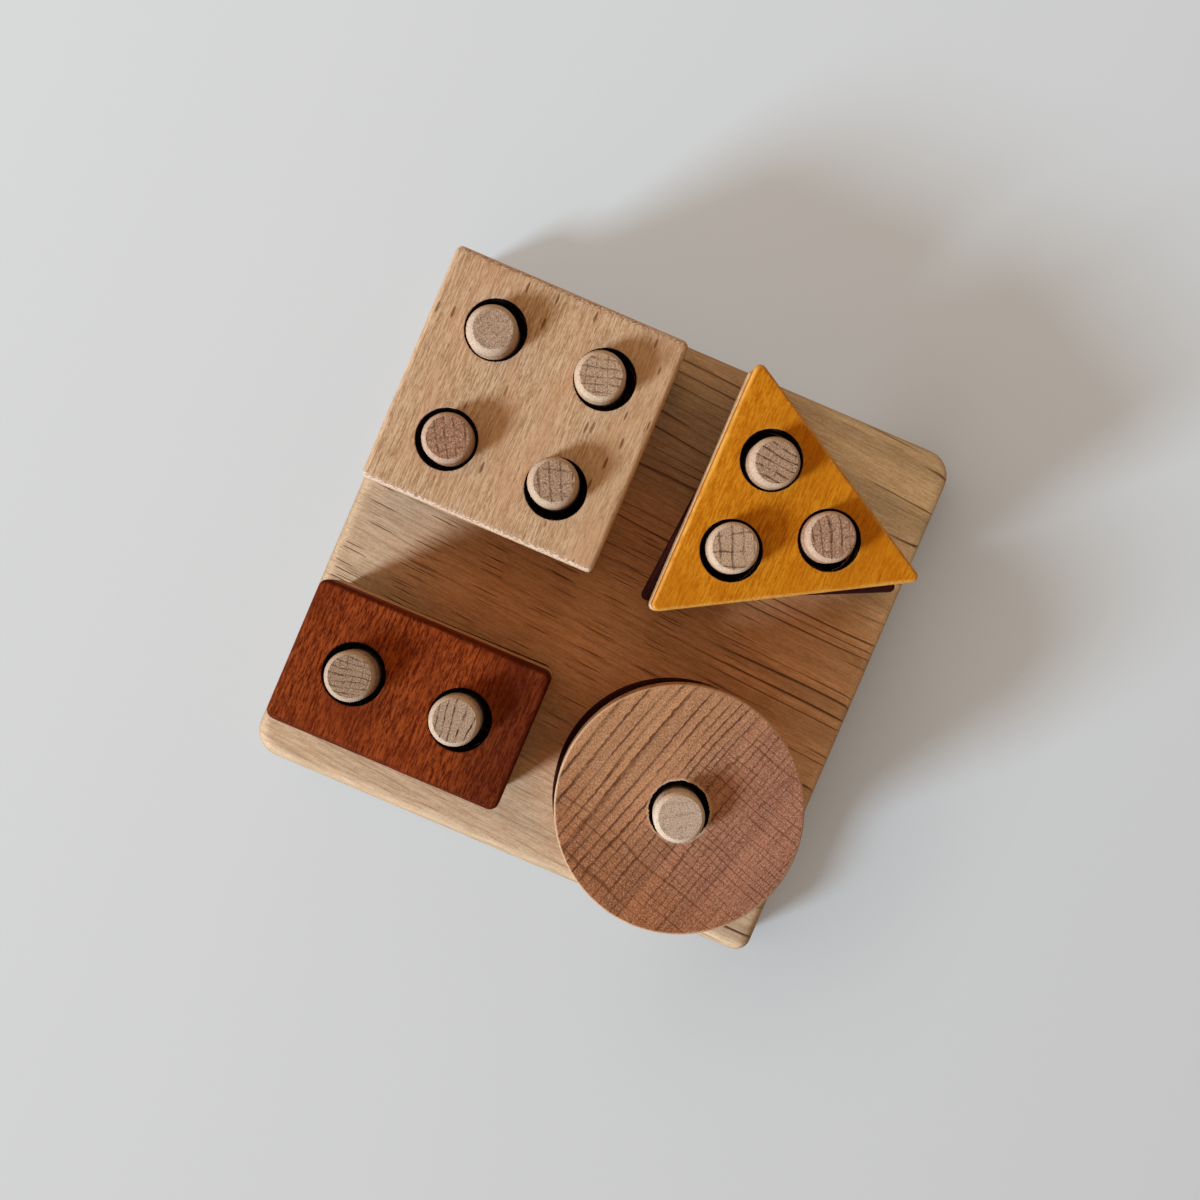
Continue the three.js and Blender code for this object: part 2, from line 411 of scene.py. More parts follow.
class Graph:
    """The node tree of a material or world, with short calls that add nodes and join them."""

    def __init__(self, owner):
        owner.use_nodes = True
        self.owner = owner
        self.tree = owner.node_tree
        self.shader = self.tree.nodes.get("Principled BSDF")

    def put(self, socket, value):
        if isinstance(value, bpy.types.NodeSocket):
            self.tree.links.new(value, socket)
        else:
            socket.default_value = value

    def node(self, kind, inputs, **settings):
        made = self.tree.nodes.new("ShaderNode" + kind)
        for key, value in settings.items():
            setattr(made, key, value)
        for key, value in inputs.items():
            self.put(made.inputs[key], value)
        return made

    def math(self, operation, a, b=0.0):
        return self.node("Math", {0: a, 1: b}, operation=operation).outputs[0]

    def times(self, a, b):
        return self.math("MULTIPLY", a, b)

    def plus(self, a, b):
        return self.math("ADD", a, b)

    def minus(self, a, b):
        return self.math("SUBTRACT", a, b)

    def most(self, a, b):
        return self.math("MAXIMUM", a, b)

    def distance(self, value, middle):
        return self.math("ABSOLUTE", self.minus(value, middle))

    def blend(self, share, a, b):
        return self.plus(self.times(a, share), self.times(b, 1 - share))

    def slope(self, value, low, high, to_low, to_high, kind="LINEAR"):
        """A value between two levels, taken to two other levels."""
        inputs = {"Value": value, "From Min": low, "From Max": high, "To Min": to_low, "To Max": to_high}
        return self.node("MapRange", inputs, interpolation_type=kind).outputs["Result"]

    def ramp(self, value, low, high, to_low=0.0, to_high=1.0):
        """Smooth step of a value between two levels."""
        return self.slope(value, low, high, to_low, to_high, "SMOOTHSTEP")

    def dot(self, a, b):
        return self.node("VectorMath", {0: a, 1: b}, operation="DOT_PRODUCT").outputs["Value"]

    def axis(self, vector, index):
        return self.node("SeparateXYZ", {0: vector}).outputs[index]

    def mix(self, factor, a, b):
        made = self.node("Mix", {0: factor, 6: a, 7: b}, data_type="RGBA")
        return made.outputs[2]

    def shade(self, colour, factor):
        """A colour made lighter or darker."""
        return self.node("VectorMath", {0: colour, 3: factor}, operation="SCALE").outputs[0]

    def tint(self, colour, factors):
        return self.node("VectorMath", {0: colour, 1: factors}, operation="MULTIPLY").outputs[0]

    def seen(self):
        """1 for what the camera sees, also in a reflection or through glass, and 0 for light that falls."""
        path = self.node("LightPath", {}).outputs
        direct = self.plus(path["Is Camera Ray"], path["Is Glossy Ray"])
        return self.plus(direct, path["Is Transmission Ray"])


class Wood(Graph):
    """The material of one piece of wood. Its space is in millimetres along the grain, across it and up."""

    def __init__(self, name, centre=(0, 0, 0), angle=0.0, seed=0):
        super().__init__(bpy.data.materials.new(name))
        self.shift = own_shift(seed)
        here = self.node("TexCoord", {}).outputs["Object"]
        middle = [c * MM for c in centre]
        moved = self.node("VectorMath", {0: here, 1: middle}, operation="SUBTRACT").outputs[0]
        inputs = {"Vector": moved, "Rotation": (0, 0, -angle), "Scale": (1 / MM, 1 / MM, 1 / MM)}
        self.space = self.node("Mapping", inputs).outputs[0]
        self.along = self.axis(self.space, 0)
        self.across = self.axis(self.space, 1)

    def stretch(self, lengths, shift):
        scale = [1 / length for length in lengths]
        inputs = {"Vector": self.space, "Scale": scale, "Location": shift or self.shift}
        return self.node("Mapping", inputs).outputs[0]

    def noise(self, lengths, detail=2.0, distortion=0.0, shift=None):
        inputs = {"Vector": self.stretch(lengths, shift), "Scale": 1.0, "Detail": detail,
                  "Roughness": NOISE_ROUGHNESS, "Distortion": distortion}
        return self.node("TexNoise", inputs).outputs[0]

    def dashes(self, lengths, size, share, shift=None):
        """Long soft spots, one in some of the cells of a stretched random pattern."""
        cells = self.node("TexVoronoi", {"Vector": self.stretch(lengths, shift), "Scale": 1.0})
        pick = self.node("SeparateColor", {0: cells.outputs["Color"]}).outputs[0]
        spot = self.ramp(cells.outputs["Distance"], size, size * DASH_CORE)
        return self.times(spot, self.ramp(pick, share, share * DASH_PICK))

    def warp(self, value, waves, shift=None):
        """A place bent by waves of noise, each with its lengths, detail and height in millimetres."""
        for lengths, detail, height in waves:
            value = self.plus(value, self.times(self.noise(lengths, detail, shift=shift), height))
        return value

    def phase(self, place, spacing):
        """How far a place lies from one line to the next, from 0 to 1."""
        return self.math("FRACT", self.math("DIVIDE", place, spacing))

    def year_lines(self, phase, start, full, end):
        """Lines that darken slowly towards the end of a year and then stop."""
        return self.most(self.ramp(phase, start, full), self.ramp(phase, 0.0, end, 1.0, 0.0))

    def hairlines(self, phase, width, core):
        """Thin lines halfway between one place and the next."""
        return self.ramp(self.distance(phase, 0.5), width, core)

    def facing(self, direction):
        """How squarely a surface faces along a direction or against it."""
        normal = self.node("TexCoord", {}).outputs["Normal"]
        return self.math("ABSOLUTE", self.dot(normal, direction))

    def flatness(self, side, face, low=0.3, high=0.95):
        """A value that goes from that of upright sides to that of level faces."""
        return self.ramp(self.facing((0, 0, 1)), low, high, side, face)

    def wear_and_edge_light(self):
        return self.node("Attribute", {}, attribute_name="wear_and_edge_light").outputs["Fac"]

    def speckled(self, colour, speckle, darkest, glint, light):
        """A colour with dark specks, and light ones that glint."""
        colour = self.shade(colour, self.ramp(speckle, 0.3, 0.52, darkest, 1.0))
        return self.mix(self.ramp(speckle, 0.5, 0.72, 0.0, glint), colour, light)

    def finish(self, colour, roughness, height, sheen, depth=BUMP_DEPTH):
        sockets = self.shader.inputs
        self.put(sockets["Base Color"], colour)
        self.put(sockets["Roughness"], roughness)
        self.put(sockets["Specular IOR Level"], sheen)
        bump = self.node("Bump", {"Height": height, "Strength": BUMP_STRENGTH, "Distance": depth * MM})
        self.put(sockets["Normal"], bump.outputs[0])
        return self.owner


def linear(red, green, blue):
    """A colour as it looks on screen, from 0 to 255, as the linear colour that nodes take."""
    shares = [c / 255 for c in (red, green, blue)]
    return (*[c / 12.92 if c <= 0.04045 else ((c + 0.055) / 1.055) ** 2.4 for c in shares], 1.0)


def own_shift(seed):
    """An offset into the textures, so that no two pieces show the same grain."""
    return tuple(seed * step for step in GRAIN_STEP)


# Each tone of block: the colours of its fibres and clouds, flecks, rubbed edges and end grain, how strongly
# they show, the length and width of its fibres in millimetres, its sheen, and the colour it turns to on one
# side. Its rubbed edges are partly painted light: lighter rims carry a painted highlight, and the dark russet
# rim is painted shade.
TONES = {
    "natural": {
        "dark": linear(160, 119, 83), "light": linear(209, 176, 142), "fibre": (3.6, 0.26),
        "cloud": linear(192, 144, 108), "cloud_amount": 0.45, "fleck": linear(104, 60, 31),
        "fleck_amount": 0.8, "rim": linear(206, 176, 146), "rim_amount": 0.25,
        "end": linear(216, 188, 168), "end_amount": 0.85,
        "sheen": 0.12, "one_side": linear(190, 146, 106), "one_side_amount": 0.3,
    },
    "mustard": {
        "dark": linear(172, 94, 4), "light": linear(205, 133, 27), "fibre": (3.0, 0.4),
        "cloud": linear(176, 100, 8), "cloud_amount": 0.5, "fleck": linear(146, 78, 4), "fleck_amount": 0.5,
        "rim": linear(222, 168, 84), "rim_amount": 0.7, "end": linear(200, 146, 70), "end_amount": 0.5,
        "sheen": 0.06, "one_side": linear(176, 98, 8), "one_side_amount": 0.3,
    },
    "russet": {
        "dark": linear(78, 20, 2), "light": linear(154, 71, 28), "fibre": (2.8, 0.44),
        "cloud": linear(104, 35, 10), "cloud_amount": 0.5, "fleck": linear(70, 22, 8), "fleck_amount": 0.3,
        "rim": linear(60, 18, 9), "rim_amount": 0.6, "end": linear(78, 26, 12), "end_amount": 0.5,
        "sheen": 0.04, "one_side": linear(56, 15, 7), "one_side_amount": 0.55,
    },
    "maroon": {
        "dark": linear(34, 11, 10), "light": linear(54, 22, 18), "fibre": (2.8, 0.5),
        "cloud": linear(40, 14, 12), "cloud_amount": 0.5, "fleck": linear(24, 8, 8), "fleck_amount": 0.5,
        "rim": linear(58, 24, 20), "rim_amount": 0.4, "end": linear(36, 12, 11), "end_amount": 0.4,
        "sheen": 0.03, "one_side": linear(32, 11, 10), "one_side_amount": 0.3,
    },
}

# Flat-sawn wood: lengths in millimetres along the grain, across it and up, the size and share of its flecks,
# where the colour turns towards one side, and how strongly the rest shows. The upright sides of blocks carry
# painted shade, darker and warmer than their faces.
FACE_GRIT = (0.9, 0.2, 0.2)
FACE_CLOUD = (20, 8, 8)
FACE_PATCH = (3, 3, 3)
FACE_TORN = (0.35, 0.55, 0.4)
FACE_FIBRE_SHARE = 0.62
FACE_ROUGH = (0.5, 0.68)
LARGE_FLECKS = {"lengths": (5.2, 1.15, 1.15), "size": 0.3, "share": 0.16}
SMALL_FLECKS = {"lengths": (2.4, 0.6, 0.6), "size": 0.3, "share": 0.12}
SMALL_FLECK_AMOUNT = 0.5
FLECK_DEPTH = 0.2
ONE_SIDE_EDGE = (-9.0, -21.0)
TORN_LEAN = 0.18
TORN_GAP_AMOUNT = 0.35
SIDE_SHADE_BLOCK = (0.93, 0.76, 0.54)


def face_wood(name, tone, centre, angle, seed):
    """Flat-sawn wood: short fibres, soft clouds and flecks along the grain, and torn end grain."""
    g = Wood(name, centre, angle, seed)
    spec = TONES[tone]
    length, width = spec["fibre"]
    fibre = g.noise((length, width, width), 3, 0.3)
    streak = g.blend(FACE_FIBRE_SHARE, fibre, g.noise(FACE_GRIT))
    end_on = g.facing((math.cos(angle), math.sin(angle), 0))
    half_calm = g.times(g.ramp(end_on, 0.3, 0.95, 0.26, 0.55), 0.5)
    streaks = g.ramp(streak, g.minus(0.5, half_calm), g.plus(0.5, half_calm))
    colour = g.mix(streaks, spec["dark"], spec["light"])
    cloud = g.noise(FACE_CLOUD, 2, 0.4)
    colour = g.mix(g.ramp(cloud, 0.42, 0.7, 0.0, spec["cloud_amount"]), colour, spec["cloud"])
    # The colour turns towards another on one side across the grain; on the russet rectangle's far end this is
    # partly a painted shadow of a peg.
    colour = g.mix(g.ramp(g.across, *ONE_SIDE_EDGE, 0.0, spec["one_side_amount"]), colour, spec["one_side"])
    flecks = g.most(g.dashes(**LARGE_FLECKS), g.times(g.dashes(**SMALL_FLECKS), SMALL_FLECK_AMOUNT))
    colour = g.mix(g.times(flecks, spec["fleck_amount"]), colour, spec["fleck"])
    patches = g.ramp(g.noise(FACE_PATCH, 3), 0.32, 0.6, 0.35, 1.0)
    # Edges: partly wear and partly painted light, a painted highlight on lighter rims and painted shade on
    # the dark russet rim.
    colour = g.mix(g.times(g.times(g.wear_and_edge_light(), patches), spec["rim_amount"]), colour, spec["rim"])
    torn = g.noise(FACE_TORN, 3)
    strands = g.ramp(g.plus(torn, g.times(end_on, TORN_LEAN)), 0.52, 0.64)
    sawn = g.times(g.ramp(end_on, 0.05, 0.3), g.ramp(end_on, 0.7, 1.0, 1.0, 0.3))
    end = g.times(sawn, strands)
    gaps = g.times(g.minus(sawn, end), g.ramp(end_on, 0.5, 0.8, 1.0, 0.3))
    colour = g.mix(g.times(gaps, TORN_GAP_AMOUNT * spec["end_amount"]), colour, spec["fleck"])
    colour = g.mix(g.times(end, spec["end_amount"]), colour, spec["end"])
    # Painted shade: the upright sides are darker and warmer than the faces.
    colour = g.mix(g.flatness(1.0, 0.0, 0.0, 0.8), colour, g.tint(colour, SIDE_SHADE_BLOCK))
    height = g.minus(g.plus(streak, g.times(end, torn)), g.times(flecks, FLECK_DEPTH))
    return g.finish(colour, g.ramp(fibre, 0.2, 0.8, *FACE_ROUGH), height, spec["sheen"])


# The end grain of the natural disc: how wide a year is in its middle and how fast years widen across it, the
# waves that bend rings and rays, the zones in millimetres across and along it, its colours, and how strongly
# they show and stand in relief
YEAR_WIDTH = 1.55
YEAR_GROWTH = 0.045
RING_WAVES = [((70, 22, 70), 1, 6.0), ((1.1, 0.5, 3), 2, 0.85), ((60, 4.5, 60), 1, 4.0)]
RING_PATCH = (14, 2.2, 30)
RAY_SPACING = 1.45
RAY_WAVES = [((3, 24, 6), 1, 3.0)]
RAY_PATCH = (1.6, 14, 6)
DISC_SPECKLE = (0.3, 0.24, 3)
DISC_BAND = (50, 3.5, 50)
DISC_CLOSE = linear(160, 106, 82)
DISC_WIDE = linear(178, 127, 89)
DISC_STAIN = linear(147, 88, 52)
DISC_GLINT = linear(226, 190, 160)
DISC_RING = linear(70, 34, 14)
DISC_RAY = linear(80, 40, 22)
DISC_RIM = linear(222, 188, 152)
RING_FADE = (-16.0, 6.0)
RAY_FADE = (9.0, -4.0)
RAY_LEFT = (-2.0, -14.0)
CLOSE_TO_WIDE = (-14.0, 16.0)
STAIN_EDGE = (0.0, -22.0)
STAIN_AMOUNT = 0.8
RING_AMOUNT = 0.85
RING_DEPTH = 0.5
RAY_AMOUNT = 0.6
RAY_DEPTH = 0.3
DISC_RIM_AMOUNT = 0.5
END_ROUGH = (0.62, 0.8)
END_SHEEN = 0.08


def ring_wood(name, centre, angle, seed):
    """End-grain wood. Year rings run along the grain angle, wide on one side and close on the other, and rays
    cross them."""
    g = Wood(name, centre, angle, seed)
    width = g.plus(g.times(g.warp(g.across, RING_WAVES), YEAR_GROWTH), YEAR_WIDTH)
    years = g.phase(g.math("LOGARITHM", width, math.e), YEAR_GROWTH)
    level = g.flatness(0.35, 1.0)
    patches = g.ramp(g.noise(RING_PATCH), 0.34, 0.6, 0.3, 1.0)
    rings = g.times(g.times(g.year_lines(years, 0.7, 0.97, 0.08), patches), level)
    rings = g.times(rings, g.ramp(g.across, *RING_FADE, 0.6, 1.0))
    broken = g.ramp(g.noise(RAY_PATCH), 0.36, 0.6, 0.15, 1.0)
    spread = g.most(g.ramp(g.across, *RAY_FADE, 0.1, 1.0), g.ramp(g.along, *RAY_LEFT))
    rays = g.hairlines(g.phase(g.warp(g.along, RAY_WAVES), RAY_SPACING), 0.13, 0.02)
    rays = g.times(g.times(g.times(rays, broken), spread), level)
    colour = g.mix(g.ramp(g.across, *CLOSE_TO_WIDE), DISC_CLOSE, DISC_WIDE)
    colour = g.mix(g.ramp(g.along, *STAIN_EDGE, 0.0, STAIN_AMOUNT), colour, DISC_STAIN)
    colour = g.shade(colour, g.ramp(g.noise(DISC_BAND), 0.3, 0.7, 0.82, 1.12))
    speckle = g.noise(DISC_SPECKLE, 3)
    colour = g.speckled(colour, speckle, g.flatness(0.8, 0.5), g.flatness(0.12, 0.4), DISC_GLINT)
    colour = g.mix(g.times(rings, RING_AMOUNT), colour, DISC_RING)
    colour = g.mix(g.times(rays, RAY_AMOUNT), colour, DISC_RAY)
    colour = g.mix(g.times(g.wear_and_edge_light(), DISC_RIM_AMOUNT), colour, DISC_RIM)
    height = g.minus(speckle, g.plus(g.times(rings, RING_DEPTH), g.times(rays, RAY_DEPTH)))
    return g.finish(colour, g.ramp(speckle, 0.2, 0.8, *END_ROUGH), height, END_SHEEN)


# The board: its fibres and bands in millimetres, its growth lines, pores and colours, the painted shade that
# warms its middle, the painted light at its far corner and the painted shade on its sides, and where these
# zones begin and end in millimetres
BOARD_FIBRE = (5, 0.35, 0.35)
BOARD_GRIT = (0.6, 0.22, 0.22)
BOARD_FIBRE_SHARE = 0.6
BOARD_BAND = (120, 6, 9)
BOARD_PATCH = (50, 2.5, 9)
BOARD_PATCH_SHIFT = (1, 6, 3)
GROWTH_SPACING = 2.4
GROWTH_WAVES = [((90, 30, 30), 1, 8.0), ((200, 6, 12), 1, 5.0)]
SHORT_PORES = {"lengths": (14, 0.42, 0.42), "size": 0.3, "share": 0.4}
LONG_PORES = {"lengths": (60, 0.6, 0.6), "size": 0.18, "share": 0.5, "shift": (3, 8, 5)}
BOARD_DARK = linear(181, 147, 113)
BOARD_LIGHT = linear(209, 181, 151)
BOARD_GROWTH = linear(92, 50, 24)
BOARD_PORE = linear(74, 34, 14)
BOARD_RIM = linear(214, 186, 154)
BOARD_SHADE_TINT = (1.2, 0.85, 0.64)
BOARD_LIT_CORNER_TINT = (1.4, 1.65, 1.85)
SIDE_SHADE_BOARD = (0.7, 0.62, 0.52)
SHADE_BAND_MIDDLE = -2.0
SHADE_BAND_SIDES = (50.0, 18.0)
SHADE_BAND_START = (-54.0, -22.0)
SHADE_BAND_END = (34.0, 60.0)
LIT_CORNER_ZONE = (66.0, 92.0)
RIGHT_SIDE = (18.0, 34.0)
FIGURE_MIDDLE = -2.0
FIGURE_ENDS = (18.0, 10.0)
FIGURE_START = (4.0, 14.0)
PORE_MIDDLE = -4.0
PORE_SIDES = (36.0, 18.0)
PORE_END = (44.0, 24.0)
PORE_AMOUNT = 0.9
BOARD_RIM_AMOUNT = 0.1
BOARD_STREAK_DEPTH = 0.6
BOARD_ROUGH = (0.5, 0.64)
BOARD_SHEEN = 0.1


def board_wood(name, angle):
    """Open-grained wood: growth lines and dark pores along the grain, and painted shade along its middle."""
    g = Wood(name, angle=angle)
    fibre = g.noise(BOARD_FIBRE, 3, 0.2)
    streak = g.blend(BOARD_FIBRE_SHARE, fibre, g.noise(BOARD_GRIT))
    colour = g.mix(g.ramp(streak, 0.36, 0.64), BOARD_DARK, BOARD_LIGHT)
    # Painted shade: a warmer, deeper colour along the middle of the board, between the stacks.
    shaded_middle = g.times(g.ramp(g.distance(g.across, SHADE_BAND_MIDDLE), *SHADE_BAND_SIDES), g.ramp(g.along, *SHADE_BAND_START))
    shaded_middle = g.times(shaded_middle, g.ramp(g.along, *SHADE_BAND_END, 1.0, 0.45))
    colour = g.mix(shaded_middle, colour, g.tint(colour, BOARD_SHADE_TINT))
    # Painted light: the far corner of the board is lighter and cooler.
    corner = g.ramp(g.plus(g.along, g.across), *LIT_CORNER_ZONE)
    colour = g.mix(corner, colour, g.tint(colour, BOARD_LIT_CORNER_TINT))
    right = g.ramp(g.along, *RIGHT_SIDE)
    darkest, lightest = g.ramp(right, 0.0, 1.0, 0.9, 0.86), g.ramp(right, 0.0, 1.0, 1.07, 1.24)
    colour = g.shade(colour, g.ramp(g.noise(BOARD_BAND, 2, 0.3), 0.3, 0.7, darkest, lightest))
    level = g.flatness(0.15, 1.0, 0.2)
    years = g.phase(g.warp(g.across, GROWTH_WAVES), GROWTH_SPACING)
    growth = g.times(g.year_lines(years, 0.8, 0.97, 0.06), level)
    patches = g.ramp(g.noise(BOARD_PATCH, shift=BOARD_PATCH_SHIFT), 0.46, 0.6)
    beside = g.distance(g.along, FIGURE_MIDDLE)
    figure = g.times(g.ramp(beside, *FIGURE_ENDS), g.ramp(g.across, *FIGURE_START))
    figured = g.times(figure, g.plus(g.times(patches, 0.55), 0.25))
    shown = g.most(figured, g.times(patches, g.plus(g.times(right, 0.65), 0.3)))
    colour = g.mix(g.times(growth, shown), colour, BOARD_GROWTH)
    belt = g.times(g.ramp(g.distance(g.across, PORE_MIDDLE), *PORE_SIDES), g.ramp(g.along, *PORE_END))
    short = g.times(g.dashes(**SHORT_PORES), g.plus(g.times(belt, 0.75), 0.2))
    long = g.times(g.dashes(**LONG_PORES), g.plus(g.times(right, 0.4), 0.35))
    pores = g.times(g.most(short, long), level)
    colour = g.mix(g.times(pores, PORE_AMOUNT), colour, BOARD_PORE)
    colour = g.mix(g.times(g.wear_and_edge_light(), BOARD_RIM_AMOUNT), colour, BOARD_RIM)
    # Painted shade: the rounded and upright sides of the board are darker than its top.
    colour = g.mix(g.flatness(1.0, 0.0, high=1.0), colour, g.tint(colour, SIDE_SHADE_BOARD))
    height = g.minus(g.times(streak, BOARD_STREAK_DEPTH), pores)
    return g.finish(colour, g.ramp(fibre, 0.2, 0.8, *BOARD_ROUGH), height, BOARD_SHEEN)


# Each peg: direction, spacing and strength of its rings, strength of the rays across them, its tint, the
# width of its chamfer, how far its flat is off centre, and how far its tip stands out of true
PEG_LOOKS = {
    "square_peg_1": {
        "rings": 16, "spacing": 1.6, "contrast": 0.7, "cross": 0.5, "tint": linear(176, 142, 113),
        "chamfer": 0.9, "flat": (0.2, 0.1), "lean": (0.1, 0),
    },
    "square_peg_2": {
        "rings": 60, "spacing": 2.4, "contrast": 0.2, "cross": 0.15, "tint": linear(172, 140, 116),
        "chamfer": 1.1, "flat": (0.3, 0.2), "lean": (-0.1, -0.1),
    },
    "square_peg_3": {
        "rings": 121, "spacing": 1.9, "contrast": 0.7, "cross": 0.6, "tint": linear(159, 114, 87),
        "chamfer": 0.85, "flat": (0.2, 0.15), "lean": (0.15, -0.1),
    },
    "square_peg_4": {
        "rings": 120, "spacing": 2.2, "contrast": 0.6, "cross": 0.55, "tint": linear(164, 130, 103),
        "chamfer": 1.0, "flat": (0.2, 0.2), "lean": (-0.25, 0.1),
    },
    "triangle_peg_1": {
        "rings": 123, "spacing": 1.6, "contrast": 0.85, "cross": 0.6, "tint": linear(162, 121, 95),
        "chamfer": 0.76, "flat": (0.3, 0.2), "lean": (0, 0.1),
    },
    "triangle_peg_2": {
        "rings": -2, "spacing": 1.7, "contrast": 0.95, "cross": 0.5, "tint": linear(163, 128, 101),
        "chamfer": 0.9, "flat": (0.3, 0.15), "lean": (0.45, -0.15),
    },
    "triangle_peg_3": {
        "rings": 118, "spacing": 2.4, "contrast": 0.7, "cross": 0.8, "tint": linear(179, 145, 117),
        "chamfer": 0.74, "flat": (0.2, 0.15), "lean": (-0.45, 0.05),
    },
    "rectangle_peg_1": {
        "rings": 8, "spacing": 1.1, "contrast": 0.85, "cross": 0.6, "tint": linear(157, 126, 102),
        "chamfer": 0.8, "flat": (0.1, 0.1), "lean": (0, 0),
    },
    "rectangle_peg_2": {
        "rings": 96, "spacing": 1.7, "contrast": 1.0, "cross": 0.3, "tint": linear(174, 143, 119),
        "chamfer": 0.8, "flat": (0.1, 0.1), "lean": (0, 0),
    },
    "disc_peg": {
        "rings": 30, "spacing": 2.2, "contrast": 0.2, "cross": 0.2, "tint": linear(188, 161, 140),
        "chamfer": 0.8, "flat": (0.15, 0.1), "lean": (-0.15, 0),
    },
}

# What all pegs share: the waves and patches of their rings and rays, how much wider the rays are spaced than
# the rings, their other colours, the painted shade on the flat of the tip, and how strongly relief and the
# lighter chamfer show, which is partly wear and partly a painted highlight
PEG_RING_WAVES = [((12, 9, 60), 1, 3.0), ((0.8, 0.5, 9), 2, 0.55)]
PEG_RING_PATCH = (2.2, 1.6, 20)
PEG_RAY_WAVES = [((9, 12, 60), 1, 3.0), ((0.6, 1.0, 9), 2, 0.6)]
PEG_RAY_PATCH = (1.4, 2.4, 20)
PEG_RAY_SPACING = 1.3
PEG_SPECKLE = (0.26, 0.26, 6)
PEG_GLINT = linear(230, 206, 184)
PEG_RING = linear(70, 43, 27)
PEG_RAY = linear(84, 56, 38)
PEG_RIM = linear(222, 198, 172)
PEG_RIM_AMOUNT = 0.35
PEG_FLAT_SHADE = 0.97
PEG_RING_DEPTH = 0.6


def peg_wood(name, centre, looks, seed):
    """A dowel: upright fibres, with year rings and rays that show on its end."""
    g = Wood(name, centre, math.radians(looks["rings"]), seed)
    flat = g.flatness(0.15, 1.0, 0.75, 0.98)
    years = g.phase(g.warp(g.across, PEG_RING_WAVES), looks["spacing"])
    patches = g.ramp(g.noise(PEG_RING_PATCH), 0.34, 0.6, 0.25, 1.0)
    rings = g.times(g.times(g.year_lines(years, 0.76, 0.95, 0.06), patches), flat)
    crossing = g.warp(g.along, PEG_RAY_WAVES, own_shift(seed + 1))
    rays = g.hairlines(g.phase(crossing, looks["spacing"] * PEG_RAY_SPACING), 0.09, 0.02)
    rays = g.times(g.times(rays, flat), g.ramp(g.noise(PEG_RAY_PATCH), 0.4, 0.58))
    speckle = g.noise(PEG_SPECKLE, 3)
    colour = g.speckled(looks["tint"][:3], speckle, g.flatness(0.8, 0.45), g.flatness(0.2, 0.5), PEG_GLINT)
    colour = g.mix(g.times(rings, looks["contrast"]), colour, PEG_RING)
    colour = g.mix(g.times(rays, looks["cross"]), colour, PEG_RAY)
    # Painted shade: the flat of the tip is slightly darker than its chamfer.
    colour = g.shade(colour, g.flatness(1.0, PEG_FLAT_SHADE, 0.9, 0.99))
    # The chamfer is lightened: partly wear, partly a painted highlight.
    colour = g.mix(g.times(g.wear_and_edge_light(), PEG_RIM_AMOUNT), colour, PEG_RIM)
    height = g.minus(speckle, g.times(rings, PEG_RING_DEPTH))
    return g.finish(colour, g.ramp(speckle, 0.2, 0.8, *END_ROUGH), height, END_SHEEN)


# The wall of a drilled hole
DRILL_MARK = (3, 3, 0.5)
DRILL_DARK = linear(16, 9, 7)
DRILL_LIGHT = linear(34, 20, 14)
DRILL_ROUGH = 0.85
DRILL_SHEEN = 0.05


def drilled_wood(name):
    """The very dark wall of a drilled hole."""
    g = Wood(name)
    mark = g.noise(DRILL_MARK)
    return g.finish(g.mix(mark, DRILL_DARK, DRILL_LIGHT), DRILL_ROUGH, mark, DRILL_SHEEN, DRILL_DEPTH)


# Pieces, and which way their grain runs
BLOCK_GRAIN = math.radians(90)
DISC_GRAIN = math.radians(73)
BOARD_GRAIN = math.radians(-4)


def hole_centres(stack, level):
    """Hole centres of a block, about its own centre. The two top blocks were drilled together."""
    off = level >= DRILLED_OFF
    skew = math.radians(stack["skew"]) if off else 0
    drift = Vector(stack["drift"]) if off else Vector((0, 0))
    centres = []
    for peg in stack["pegs"]:
        peg = Vector(peg)
        hole = peg + peg.normalized() * (stack["spread"] * HOLE_CLEARANCE)
        centres.append(tuple(Matrix.Rotation(skew, 2) @ hole + drift))
    return centres


def block_piece(shape, level, hole_wall):
    stack = STACKS[shape]
    tone, lean, twist = stack["blocks"][level]
    reach = math.hypot(*stack["pegs"][0])
    turn = twist * HOLE_CLEARANCE / reach if reach else 0.0
    x, y = stack["centre"]
    z = BOARD_THICKNESS + STACK_GAP + level * STACK_STEP
    place = (x + lean[0] * HOLE_CLEARANCE, y + lean[1] * HOLE_CLEARANCE, z)
    seed = FIRST_BLOCK_SEED + level + BLOCKS_IN_STACK * list(STACKS).index(shape)
    name = shape + "_" + tone
    end_grain = shape == "disc" and tone == "natural"
    if shape == "disc":
        outline = circle_outline(DISC_RADIUS, DISC_SIDES)
    else:
        radii = [stack["corner_radius"]] * len(stack["corners"])
        outline = polygon_outline(stack["corners"], radii, OUTLINE_PITCH)
    if end_grain:
        material = ring_wood(name + "_wood", place, DISC_GRAIN, seed)
    else:
        material = face_wood(name + "_wood", tone, place, BLOCK_GRAIN + turn, seed)
    ragged = TORN_RIM if end_grain else CLEAN_RIM
    holes = [{"centre": centre, "radius": stack["hole_radius"], "floor": 0, "ragged": ragged}
             for centre in hole_centres(stack, level)]

    def build(bm, wear_and_edge_light):
        slab_mesh(bm, wear_and_edge_light, outline, BLOCK_THICKNESS, stack["ease"], EDGE_UNEVEN, seed, holes)

    piece = new_piece("block_" + name, build, [material, hole_wall], place, turn)
    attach(piece, "%s_block_%d" % (shape, level + 1))
    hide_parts(name)


